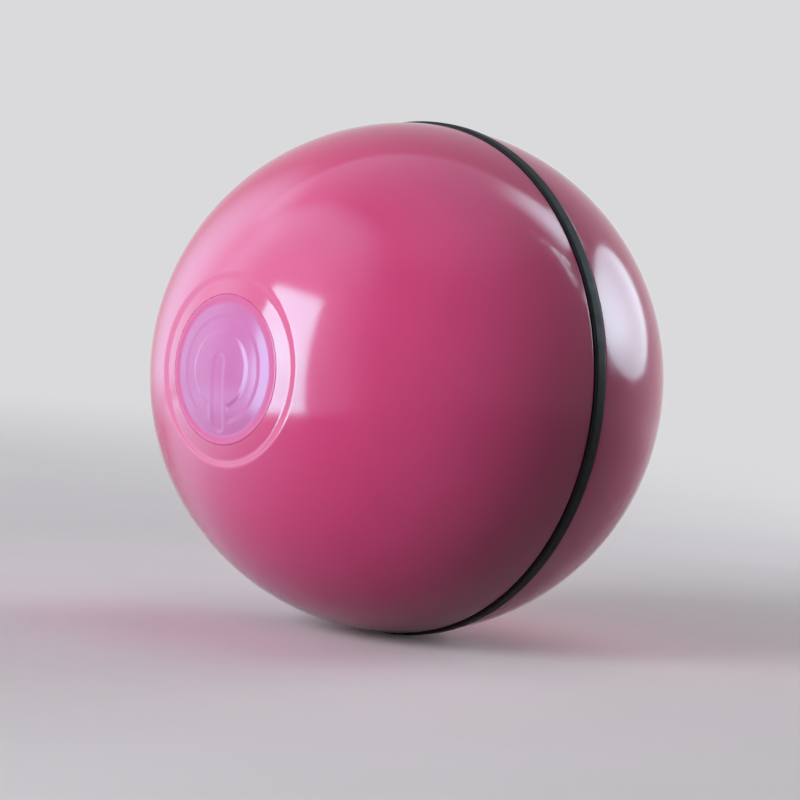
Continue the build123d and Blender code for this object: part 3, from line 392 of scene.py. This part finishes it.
def make_button():
    """The domed button with its flange and its stem."""
    inner = BUTTON - BUTTON_WALL
    corners = [
        (BUTTON, level_at(RECESS_BALL, BUTTON) - RIM_DROP), (BUTTON, FLANGE_TOP),
        (FLANGE, FLANGE_TOP), (FLANGE, FLANGE_LOW), (inner, FLANGE_LOW), (inner, COIL_TOP),
        (STEM, COIL_TOP), (STEM, STEM_END), (0, STEM_END),
    ]
    cuts = [0.07] + [0.1] * 7
    spacings = [0.6, 0.8, 0.6, 1.2, 1.5, 2.0, 3.0, 1.0]
    parts = [(stepped(0, BUTTON, DOME, RECESS_BALL, RIM_STEP, RIM_DROP), (0, 0), 0.085)]
    for a, b, cut, spacing in zip(corners, corners[1:], cuts, spacings):
        parts.append((line(a, b), (cut, cut), spacing))
    sheet = Sheet()
    sheet.turn(section(parts), -1, BUTTON_STEPS, out=1)

    def on_face(x, level, z):
        return level > COIL_TOP + HAIR and hypot(x, z) < RIM_STEP[0]

    sheet.sculpt(-1, button_level, on_face, lambda x, z: True, 0.02)
    return sheet.piece("button_cap", "button", "pink_button", ["power_button"])


def make_spring():
    """The button's coil spring, its end turns wound closer than its middle."""
    sides, steps = 12, int(COIL_TURNS * 40)
    height = COIL_TOP - COIL_FOOT
    closed = 0.35
    sheet = Sheet()
    for i in range(steps + 1):
        t = i / steps
        turn = 2 * pi * COIL_TURNS * t
        rise = (height - 2 * WIRE) * (closed * smooth(t) + (1 - closed) * t)
        for k in range(sides):
            a = 2 * pi * k / sides
            r = COIL + WIRE * cos(a)
            level = COIL_FOOT + WIRE + rise + WIRE * sin(a)
            sheet.points.append((r * sin(turn), -level, r * cos(turn)))
        if i:
            low, high = (i - 1) * sides, i * sides
            for k in range(sides):
                j = (k + 1) % sides
                sheet.faces.append([low + k, high + k, high + j, low + j])
    sheet.faces.append(list(range(sides)))
    sheet.faces.append(list(range(steps * sides, (steps + 1) * sides))[::-1])
    sheet.normals = [(0, 0, 0)] * sum(len(f) for f in sheet.faces)
    spring = sheet.piece("spring", "shell", "steel", ["button_spring"])
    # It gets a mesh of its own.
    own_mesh(spring)
    return spring


# ---------------------------------------------------------------- materials


class Finish:
    """A node material built step by step, in object coordinates so that it stays put in a pose."""

    def __init__(self, name, roughness, **inputs):
        self.name = name
        self.material = bpy.data.materials.new(name)
        self.material.use_nodes = True
        self.nodes, self.links = self.material.node_tree.nodes, self.material.node_tree.links
        self.shader = self.nodes["Principled BSDF"]
        self.place = self.nodes.new("ShaderNodeTexCoord").outputs["Object"]
        self.relief = None
        for key, value in {"Roughness": roughness, **inputs}.items():
            self.shader.inputs[key].default_value = value

    def scaled(self, scale):
        """The place with its axes scaled."""
        node = self.nodes.new("ShaderNodeMapping")
        node.inputs["Scale"].default_value = scale
        self.links.new(self.place, node.inputs["Vector"])
        return node.outputs["Vector"]

    def noise(self, size, detail=4.0, rough=0.55, stretch=None):
        """Noise whose blotches are about that many mm wide."""
        node = self.nodes.new("ShaderNodeTexNoise")
        node.inputs["Scale"].default_value = 1 / (size * MM)
        node.inputs["Detail"].default_value = detail
        node.inputs["Roughness"].default_value = rough
        self.links.new(self.scaled(stretch) if stretch else self.place, node.inputs["Vector"])
        return node.outputs["Fac"]

    def specks(self, size, share):
        """Small dots: 1 in the middle of each cell, fading to 0 at share of the cell's size."""
        node = self.nodes.new("ShaderNodeTexVoronoi")
        node.inputs["Scale"].default_value = 1 / (size * MM)
        self.links.new(self.place, node.inputs["Vector"])
        return self.remap(node.outputs["Distance"], 0.0, share, 1.0, 0.0)

    def axis(self, index):
        """The place along X, Y or Z, in metres."""
        node = self.nodes.new("ShaderNodeSeparateXYZ")
        self.links.new(self.place, node.inputs[0])
        return node.outputs[index]

    def length(self, vector):
        node = self.nodes.new("ShaderNodeVectorMath")
        node.operation = "LENGTH"
        self.links.new(vector, node.inputs[0])
        return node.outputs["Value"]

    def remap(self, value, from_low, from_high, to_low=0.0, to_high=1.0, smooth=False):
        node = self.nodes.new("ShaderNodeMapRange")
        node.interpolation_type = "SMOOTHSTEP" if smooth else "LINEAR"
        numbers = {"From Min": from_low, "From Max": from_high, "To Min": to_low, "To Max": to_high}
        for name, number in numbers.items():
            node.inputs[name].default_value = number
        self.links.new(value, node.inputs["Value"])
        return node.outputs["Result"]

    def mix(self, share, low, high):
        """Colour between low and high; each is a colour or another output."""
        node = self.nodes.new("ShaderNodeMix")
        node.data_type = "RGBA"
        self.links.new(share, node.inputs["Factor"])
        for name, colour in (("A", low), ("B", high)):
            socket = next(s for s in node.inputs if s.name == name and s.type == "RGBA")
            if isinstance(colour, tuple):
                socket.default_value = (*colour, 1)
            else:
                self.links.new(colour, socket)
        return next(s for s in node.outputs if s.type == "RGBA")

    def blotches(self, size, detail, low, high, rough=0.55):
        """Colour that drifts between low and high."""
        return self.mix(self.remap(self.noise(size, detail, rough), 0.3, 0.7), low, high)

    def colour(self, output):
        self.links.new(output, self.shader.inputs["Base Color"])

    def roughness(self, value, low, high):
        self.links.new(self.remap(value, 0.3, 0.7, low, high), self.shader.inputs["Roughness"])

    def bump(self, value, depth):
        """Adds relief: depth is the height in mm of the value going from 0 to 1."""
        node = self.nodes.new("ShaderNodeBump")
        node.inputs["Distance"].default_value = depth * MM
        self.links.new(value, node.inputs["Height"])
        if self.relief is not None:
            self.links.new(self.relief, node.inputs["Normal"])
        self.relief = node.outputs["Normal"]
        self.links.new(self.relief, self.shader.inputs["Normal"])


def shade(colour, factor):
    return tuple(min(1.0, c * factor) for c in colour)


def moulded(name, colour, rough, spread=0.06, grain=0.35, relief=0.004, blotch=9.0):
    """Moulded plastic: slow colour drift, faint flow, fine grain and uneven gloss."""
    f = Finish(name, rough)
    f.colour(f.blotches(blotch, 3.0, shade(colour, 1 - spread), shade(colour, 1 + spread)))
    f.roughness(f.noise(blotch / 4, 5.0, 0.65), rough * 0.8, rough * 1.25)
    f.bump(f.noise(grain, 2.0), relief)
    return f


def metal(name, colour, rough, stretch=(1, 1, 1), grain=0.12, relief=0.003):
    """Drawn or turned metal: fine lines along one way, with tarnish in blotches."""
    f = Finish(name, rough, Metallic=1.0)
    tarnish = f.remap(f.noise(2.5, 4.0), 0.35, 0.7)
    f.colour(f.mix(tarnish, shade(colour, 0.86), shade(colour, 1.08)))
    f.roughness(f.noise(0.6, 5.0, 0.7, stretch), rough * 0.7, rough * 1.4)
    f.bump(f.noise(grain, 3.0, 0.6, stretch), relief)
    return f


def pink_gloss(name, colour, rough, ior, plain_rim_pink=None):
    """Glossy pink plastic, with a faint drift of colour, hairline scuffs and moulding specks. For
    the button, colour is a lilac that paints in a sheen of bluish light over its pink, and the last
    argument is the plain pink, with no painted sheen, that the button's edge turns to."""
    f = Finish(name, rough, IOR=ior)
    tone = f.blotches(14.0, 2.0, shade(colour, 0.96), shade(colour, 1.04), 0.5)
    tone = f.mix(f.remap(f.specks(1.7, 0.05), 0, 1, 0, 0.5), tone, shade(colour, 0.6))
    if plain_rim_pink:
        # The button's face keeps the lilac painted sheen and turns to plain pink at its edge.
        from_axis = f.length(f.scaled((1, 0, 1)))
        tone = f.mix(f.remap(from_axis, 7.6 * MM, 8.4 * MM, smooth=True), tone, plain_rim_pink)
    f.colour(tone)
    f.roughness(f.noise(3.0, 6.0, 0.7), rough * 0.75, rough * 1.35)
    f.bump(f.noise(5.0, 2.0, 0.45), 0.006)
    f.bump(f.noise(0.5, 3.0, 0.6), 0.0009)
    return f


def soft_black():
    """The band's rubber."""
    f = Finish("black_band", 0.5, IOR=1.2)
    f.colour(f.blotches(1.2, 5.0, (0.006, 0.006, 0.007), (0.013, 0.012, 0.014)))
    f.roughness(f.noise(2.0, 5.0, 0.7), 0.42, 0.62)
    f.bump(f.noise(0.16, 3.0, 0.7), 0.012)
    return f


def soft_pink():
    """The charging plug's silicone."""
    f = Finish("pink_silicone", 0.5, IOR=1.43)
    tone = (0.60, 0.12, 0.30)
    f.colour(f.blotches(4.0, 4.0, shade(tone, 0.94), shade(tone, 1.06)))
    f.roughness(f.noise(1.5, 5.0, 0.7), 0.42, 0.6)
    f.bump(f.noise(0.12, 3.0, 0.7), 0.006)
    return f


def foam():
    """The pad above the cell."""
    f = Finish("foam", 0.9, IOR=1.4)
    f.colour(f.mix(f.noise(0.4, 3.0), (0.10, 0.10, 0.10), (0.22, 0.22, 0.21)))
    f.bump(f.specks(0.35, 0.5), 0.1)
    return f


def board_green():
    """The circuit board's lacquer over its glass weave."""
    f = Finish("board_green", 0.3, IOR=1.52)
    weave = f.noise(0.25, 2.0, 0.5, (1, 5, 1))
    f.colour(f.mix(f.remap(weave, 0.4, 0.6), (0.010, 0.085, 0.030), (0.018, 0.13, 0.048)))
    f.roughness(f.noise(1.0, 4.0), 0.22, 0.4)
    f.bump(weave, 0.008)
    return f


def lead_insulation():
    """The leads' plastic: black on the -X side and red on the +X side."""
    f = Finish("lead_insulation", 0.42, IOR=1.5)
    side = f.remap(f.axis(0), -0.5 * MM, 0.5 * MM)
    worn = f.remap(f.noise(1.2, 4.0), 0.3, 0.7)
    red = f.mix(worn, (0.42, 0.018, 0.016), (0.55, 0.030, 0.024))
    black = f.mix(worn, (0.012, 0.012, 0.013), (0.024, 0.024, 0.026))
    f.colour(f.mix(side, black, red))
    f.roughness(f.noise(0.8, 4.0), 0.34, 0.52)
    f.bump(f.noise(0.2, 2.0), 0.004)
    return f


def make_finishes():
    """The finish of each slot, by its name."""
    made = [
        pink_gloss("pink_shell", (0.74, 0.058, 0.22), 0.12, 1.43),
        # The button's lilac is a painted sheen of bluish light over its pink; the last colour is
        # the plain pink of its edge.
        pink_gloss("pink_button", (0.61, 0.13, 0.38), 0.19, 1.36, (0.69, 0.075, 0.27)),
        soft_black(),
        soft_pink(),
        moulded("white_moulding", (0.74, 0.74, 0.72), 0.42, 0.04),
        moulded("black_moulding", (0.022, 0.022, 0.025), 0.45, 0.2, 0.2, 0.006),
        moulded("gear_plastic", (0.70, 0.66, 0.55), 0.36, 0.04, 0.25, 0.003, 4.0),
        metal("bush_metal", (0.50, 0.33, 0.16), 0.38),
        metal("steel", (0.60, 0.60, 0.60), 0.28),
        metal("weight_steel", (0.36, 0.36, 0.37), 0.45, (1, 6, 1), 0.2, 0.008),
        metal("cell_foil", (0.62, 0.63, 0.66), 0.34, (6, 1, 6), 0.5, 0.02),
        foam(),
        board_green(),
        moulded("chip_black", (0.020, 0.020, 0.021), 0.5, 0.15, 0.08, 0.006, 1.0),
        metal("capacitor_can", (0.55, 0.56, 0.58), 0.3, (1, 1, 6), 0.2, 0.004),
        moulded("lamp_white", (0.80, 0.80, 0.74), 0.3, 0.03, 0.15, 0.002, 1.0),
        moulded("connector_white", (0.76, 0.74, 0.68), 0.4, 0.05, 0.2, 0.004, 2.0),
        lead_insulation(),
    ]
    return {finish.name: finish.material for finish in made}


def dress(pieces, finishes):
    """Gives every CAD node the finish of its slot, and every piece its own."""
    for sub in frame["record"]["subparts"]:
        found = frame["nodes"].get(sub["node"])
        if found is not None:
            found.data.materials.clear()
            found.data.materials.append(finishes[sub["material_slot"]])
    for piece, slot in pieces.items():
        piece.data.materials.append(finishes[slot])


# ---------------------------------------------------------------- stage and world

# The floor's level, half its width and how far from the ball it fades into the backdrop, in metres,
# the backdrop's colour, and the floor's colour and the world's light as the ball is lit by them
FLOOR_LEVEL, FLOOR_HALF, FLOOR_FADE = -0.0323, 4.0, (0.08, 0.45)
BACKDROP = (0.70, 0.70, 0.715)
BOUNCE = (0.15, 0.15, 0.15)
AMBIENT, AMBIENT_COLOUR = 0.08, (0.95, 0.95, 1.0)


def seen_directly(nodes, links):
    """1 for camera, glossy and transmission rays, which see the backdrop, and 0 for all others."""
    path = nodes.new("ShaderNodeLightPath")
    total = path.outputs["Is Camera Ray"]
    for name in ("Is Glossy Ray", "Is Transmission Ray"):
        most = nodes.new("ShaderNodeMath")
        most.operation = "MAXIMUM"
        links.new(total, most.inputs[0])
        links.new(path.outputs[name], most.inputs[1])
        total = most.outputs[0]
    return total


def make_stage():
    """A pale floor whose far part fades into the backdrop's colour. It has no gloss of its own, and
    throws little light back on the ball."""
    mesh = bpy.data.meshes.new("floor")
    s, z = FLOOR_HALF, FLOOR_LEVEL
    mesh.from_pydata([(-s, -s, z), (s, -s, z), (s, s, z), (-s, s, z)], [], [(0, 1, 2, 3)])
    floor = bpy.data.objects.new("floor", mesh)
    bpy.context.scene.collection.objects.link(floor)
    f = Finish("floor", 0.7, IOR=1.0)
    pale = f.blotches(60.0, 4.0, (0.90, 0.90, 0.91), (0.94, 0.94, 0.95))
    seen = seen_directly(f.nodes, f.links)
    f.colour(f.mix(seen, BOUNCE, pale))
    f.bump(f.noise(1.0, 3.0), 0.01)
    far = f.nodes.new("ShaderNodeEmission")
    far.inputs["Color"].default_value = (*BACKDROP, 1)
    fade = f.remap(f.length(f.place), *FLOOR_FADE, smooth=True)
    share = f.nodes.new("ShaderNodeMath")
    share.operation = "MULTIPLY"
    f.links.new(fade, share.inputs[0])
    f.links.new(seen, share.inputs[1])
    both = f.nodes.new("ShaderNodeMixShader")
    f.links.new(share.outputs[0], both.inputs[0])
    f.links.new(f.shader.outputs[0], both.inputs[1])
    f.links.new(far.outputs[0], both.inputs[2])
    f.links.new(both.outputs[0], f.nodes["Material Output"].inputs["Surface"])
    mesh.materials.append(f.material)


def make_world():
    """A faint light all round, behind a backdrop that is seen but lights nothing."""
    world = bpy.data.worlds.new("studio")
    world.use_nodes = True
    nodes, links = world.node_tree.nodes, world.node_tree.links
    light = nodes["Background"]
    light.inputs["Color"].default_value = (*AMBIENT_COLOUR, 1)
    light.inputs["Strength"].default_value = AMBIENT
    seen = nodes.new("ShaderNodeBackground")
    seen.inputs["Color"].default_value = (*BACKDROP, 1)
    seen.inputs["Strength"].default_value = 1.0
    mix = nodes.new("ShaderNodeMixShader")
    links.new(seen_directly(nodes, links), mix.inputs[0])
    links.new(light.outputs[0], mix.inputs[1])
    links.new(seen.outputs[0], mix.inputs[2])
    links.new(mix.outputs[0], nodes["World Output"].inputs["Surface"])
    bpy.context.scene.world = world


# ---------------------------------------------------------------- lights

# Lamps light the ball and don't show in its gloss. Cards show in its gloss and don't light it, and
# those that are to add up stand a little apart, as in one plane they would hide each other. An
# azimuth is 0 along -Y and 90 along +X. Lengths are in metres and powers in watts. A fade has the
# shares of a card's width and height over which it dims to its left, right, low and high edge.
UP = Vector((0, 0, 1))
SKY, BLUE, LILAC = (0.30, 0.92, 1.0), (0.36, 0.80, 1.0), (0.80, 0.74, 1.0)
DAYLIGHT, PLAIN, WARM = (0.66, 0.90, 1.0), (0.97, 0.95, 1.0), (1.0, 0.96, 0.94)
CEILING_TURN, CEILING_EDGE = 40.6, 0.258


def towards(azimuth, elevation=0.0):
    """The direction from the ball."""
    a, e = radians(azimuth), radians(elevation)
    return Vector((sin(a) * cos(e), -cos(a) * cos(e), sin(e)))


def area_light(name, place, back, right, size, power, colour):
    """A rectangular light that faces away from back, with its width along right."""
    data = bpy.data.lights.new(name, "AREA")
    data.shape = "RECTANGLE"
    data.size, data.size_y = size
    data.energy, data.color = power, colour
    light = bpy.data.objects.new(name, data)
    right = (right - right.dot(back) * back).normalized()
    turn = Matrix((right, back.cross(right), back)).transposed()
    light.location = place
    light.rotation_mode = "QUATERNION"
    light.rotation_quaternion = turn.to_quaternion()
    light.visible_camera = False
    bpy.context.scene.collection.objects.link(light)
    return light


def dim_edges(data, fade):
    """Dims a light's edges by its own nodes."""
    data.use_nodes = True
    nodes, links = data.node_tree.nodes, data.node_tree.links
    split = nodes.new("ShaderNodeSeparateXYZ")
    links.new(nodes.new("ShaderNodeNewGeometry").outputs["Parametric"], split.inputs[0])
    left, right, low, high = fade
    total = None
    for axis, start, end in ((0, 0, left), (0, 1, 1 - right), (1, 0, low), (1, 1, 1 - high)):
        if start == end:
            continue
        ramp = nodes.new("ShaderNodeMapRange")
        ramp.interpolation_type = "SMOOTHSTEP"
        ramp.inputs["From Min"].default_value = start
        ramp.inputs["From Max"].default_value = end
        links.new(split.outputs[axis], ramp.inputs["Value"])
        if total is None:
            total = ramp.outputs["Result"]
        else:
            both = nodes.new("ShaderNodeMath")
            both.operation = "MULTIPLY"
            links.new(total, both.inputs[0])
            links.new(ramp.outputs["Result"], both.inputs[1])
            total = both.outputs[0]
    links.new(total, nodes["Emission"].inputs["Strength"])


def lamp(name, azimuth, elevation, distance, size, power, colour):
    """A soft lamp square to a direction."""
    back = towards(azimuth, elevation)
    light = area_light(name, back * distance, back, UP.cross(back), size, power, colour)
    light.visible_glossy = False


def card(name, place, back, right, size, power, colour, fade):
    """A card with its width along right."""
    light = area_light(name, place, back, right, size, power, colour)
    light.visible_diffuse = False
    if fade:
        dim_edges(light.data, fade)
    return light


def near_card(name, azimuth, distance, across, height, power, colour, fade):
    """A card upright beside the ball, from across[0] to across[1] to the right, seen from the ball,
    and from height[0] to height[1] above the ball's centre."""
    back = towards(azimuth)
    right = towards(azimuth + 90)
    place = back * distance + right * sum(across) / 2 + UP * sum(height) / 2
    size = (across[1] - across[0], height[1] - height[0])
    card(name, place, back, right, size, power, colour, fade)


def far_card(name, azimuth, elevation, distance, centre, turn, size, power, colour, fade):
    """A card square to a direction, with its centre moved across and up and its width turned up by
    turn degrees."""
    back, t = towards(azimuth, elevation), radians(turn)
    right = UP.cross(back).normalized()
    up = back.cross(right)
    place = back * distance + right * centre[0] + up * centre[1]
    return card(name, place, back, right * cos(t) + up * sin(t), size, power, colour, fade)


def ceiling_card(name, height, along, depth, power, colour, fade):
    """A card overhead that reaches inwards from the one slanted edge of the ceiling."""
    right, up = towards(CEILING_TURN + 90), -towards(CEILING_TURN)
    place = right * sum(along) / 2 + up * (CEILING_EDGE - depth / 2) + UP * height
    card(name, place, UP, right, (along[1] - along[0], depth), power, colour, fade)


def make_lights():
    """Two windows, a pale wall and a ceiling, placed where the photograph's gloss shows them."""
    # The window in front, with the bright part of its glare and the room around it
    lamp("window_front", -3, 10, 0.6, (0.26, 0.46), 4.1, PLAIN)
    near_card("window_front_glare", -13, 0.10, (-0.009, 0.0390), (-0.028, 0.0585), 0.21, SKY,
              (0.05, 0.08, 0.06, 0.10))
    near_card("window_front_bright", -13, 0.098, (-0.002, 0.036), (-0.006, 0.034), 0.014, SKY,
              (0.4, 0.4, 0.4, 0.4))
    near_card("room_front_glare", -13, 0.11, (-0.13, 0.12), (-0.031, 0.29), 0.82, BLUE,
              (0.3, 0.45, 0.0, 0.45))
    # The wall on the left and the pale table below it
    lamp("wall_left", -78, 2, 0.62, (0.75, 0.5), 1.1, PLAIN)
    near_card("wall_left_glare", -82, 0.10, (-0.03, 0.12), (-0.031, 0.17), 0.31, BLUE,
              (0.42, 0.6, 0.12, 0.4))
    card("table_glare", (-0.08, -0.10, -0.0318), -UP, Vector((1, 0, 0)), (0.22, 0.20), 0.50, BLUE,
         (0.2, 0.4, 0.35, 0.3))
    # The rear window, with its bright part and the lit edges of its frame
    lamp("window_rear", 176, 12, 0.6, (0.34, 0.3), 2.4, PLAIN)
    glare = far_card("window_rear_glare", 168, 15, 0.50, (-0.042, 0.030), 0, (0.38, 0.27), 1.15,
                     DAYLIGHT, None)
    glare.data.shape = "ELLIPSE"
    far_card("window_rear_bright", 168, 15, 0.49, (-0.0875, 0.036), 0, (0.29, 0.27), 2.0, DAYLIGHT,
             (0.05, 0.8, 0.5, 0.15))
    far_card("rail_glare", 165, 45, 0.50, (-0.0065, 0.0836), -26, (0.13, 0.28), 0.85, DAYLIGHT,
             (0.5, 0.1, 0.08, 0.8))
    far_card("rail_end_glare", 165, 45, 0.50, (0.021, 0.003), -26, (0.06, 0.07), 0.07, DAYLIGHT,
             (0.2, 0.2, 0.2, 0.2))
    far_card("frame_glare_1", 165, 45, 0.50, (-0.135, 0.037), -4, (0.006, 0.165), 0.085, DAYLIGHT,
             (0.2, 0.2, 0.05, 0.8))
    far_card("frame_glare_2", 165, 45, 0.50, (-0.162, -0.018), -26, (0.006, 0.14), 0.085, DAYLIGHT,
             (0.2, 0.2, 0.05, 0.8))
    # The ceiling, from its slanted edge inwards
    lamp("top", 150, 72, 0.8, (0.6, 0.6), 0.8, WARM)
    ceiling_card("ceiling_left", 0.50, (-0.66, 0.04), 0.50, 1.34, BLUE, (0.2, 0.314, 0.95, 0))
    ceiling_card("ceiling_right", 0.505, (-0.18, 0.54), 0.81, 1.55, LILAC, (0.306, 0.6, 0.48, 0))


# ---------------------------------------------------------------- camera

# The photograph's view: the camera's distance in metres and its elevation in degrees, its focal
# length in pixels of an 800 by 800 image, where the ball's centre is in that image, and how far the
# button's pole points right, up and towards the camera in it.
VIEW_DISTANCE, VIEW_ELEVATION = 0.352, 3.0
IMAGE, FOCAL = 800, 2795.0
CENTRE = (406.8, 378.0)
POLE_RIGHT, POLE_UP, POLE_TOWARDS = -0.7029, 0.0270, 0.7108
SENSOR = 36.0


def make_camera():
    azimuth = degrees(acos(POLE_TOWARDS / cos(radians(VIEW_ELEVATION))))
    back, right = towards(azimuth, VIEW_ELEVATION), towards(azimuth + 90)
    up = back.cross(right)
    pole = Vector((0, -1, 0))
    roll = atan2(POLE_UP, POLE_RIGHT) - atan2(pole.dot(up), pole.dot(right))
    turn = Matrix((
        cos(roll) * right - sin(roll) * up,
        sin(roll) * right + cos(roll) * up,
        back,
    )).transposed()
    across, above = CENTRE[0] - IMAGE / 2, IMAGE / 2 - CENTRE[1]
    off = Vector((across / FOCAL, above / FOCAL, -1)).normalized()
    data = bpy.data.cameras.new("camera")
    data.sensor_width, data.lens = SENSOR, SENSOR * FOCAL / IMAGE
    data.clip_start, data.clip_end = 0.01, 20
    camera = bpy.data.objects.new("camera", data)
    camera.rotation_mode = "QUATERNION"
    camera.rotation_quaternion = turn.to_quaternion()
    camera.location = -(turn @ off) * VIEW_DISTANCE
    bpy.context.scene.collection.objects.link(camera)
    bpy.context.scene.camera = camera


# ---------------------------------------------------------------- the scene

dress({
    make_front_shell(): "pink_shell",
    make_rear_shell(): "pink_shell",
    make_band(): "black_band",
    make_plug(): "pink_silicone",
    make_button(): "pink_button",
    make_spring(): "steel",
}, make_finishes())
make_stage()
make_world()
make_lights()
make_camera()
bpy.context.scene.view_settings.view_transform = "Standard"
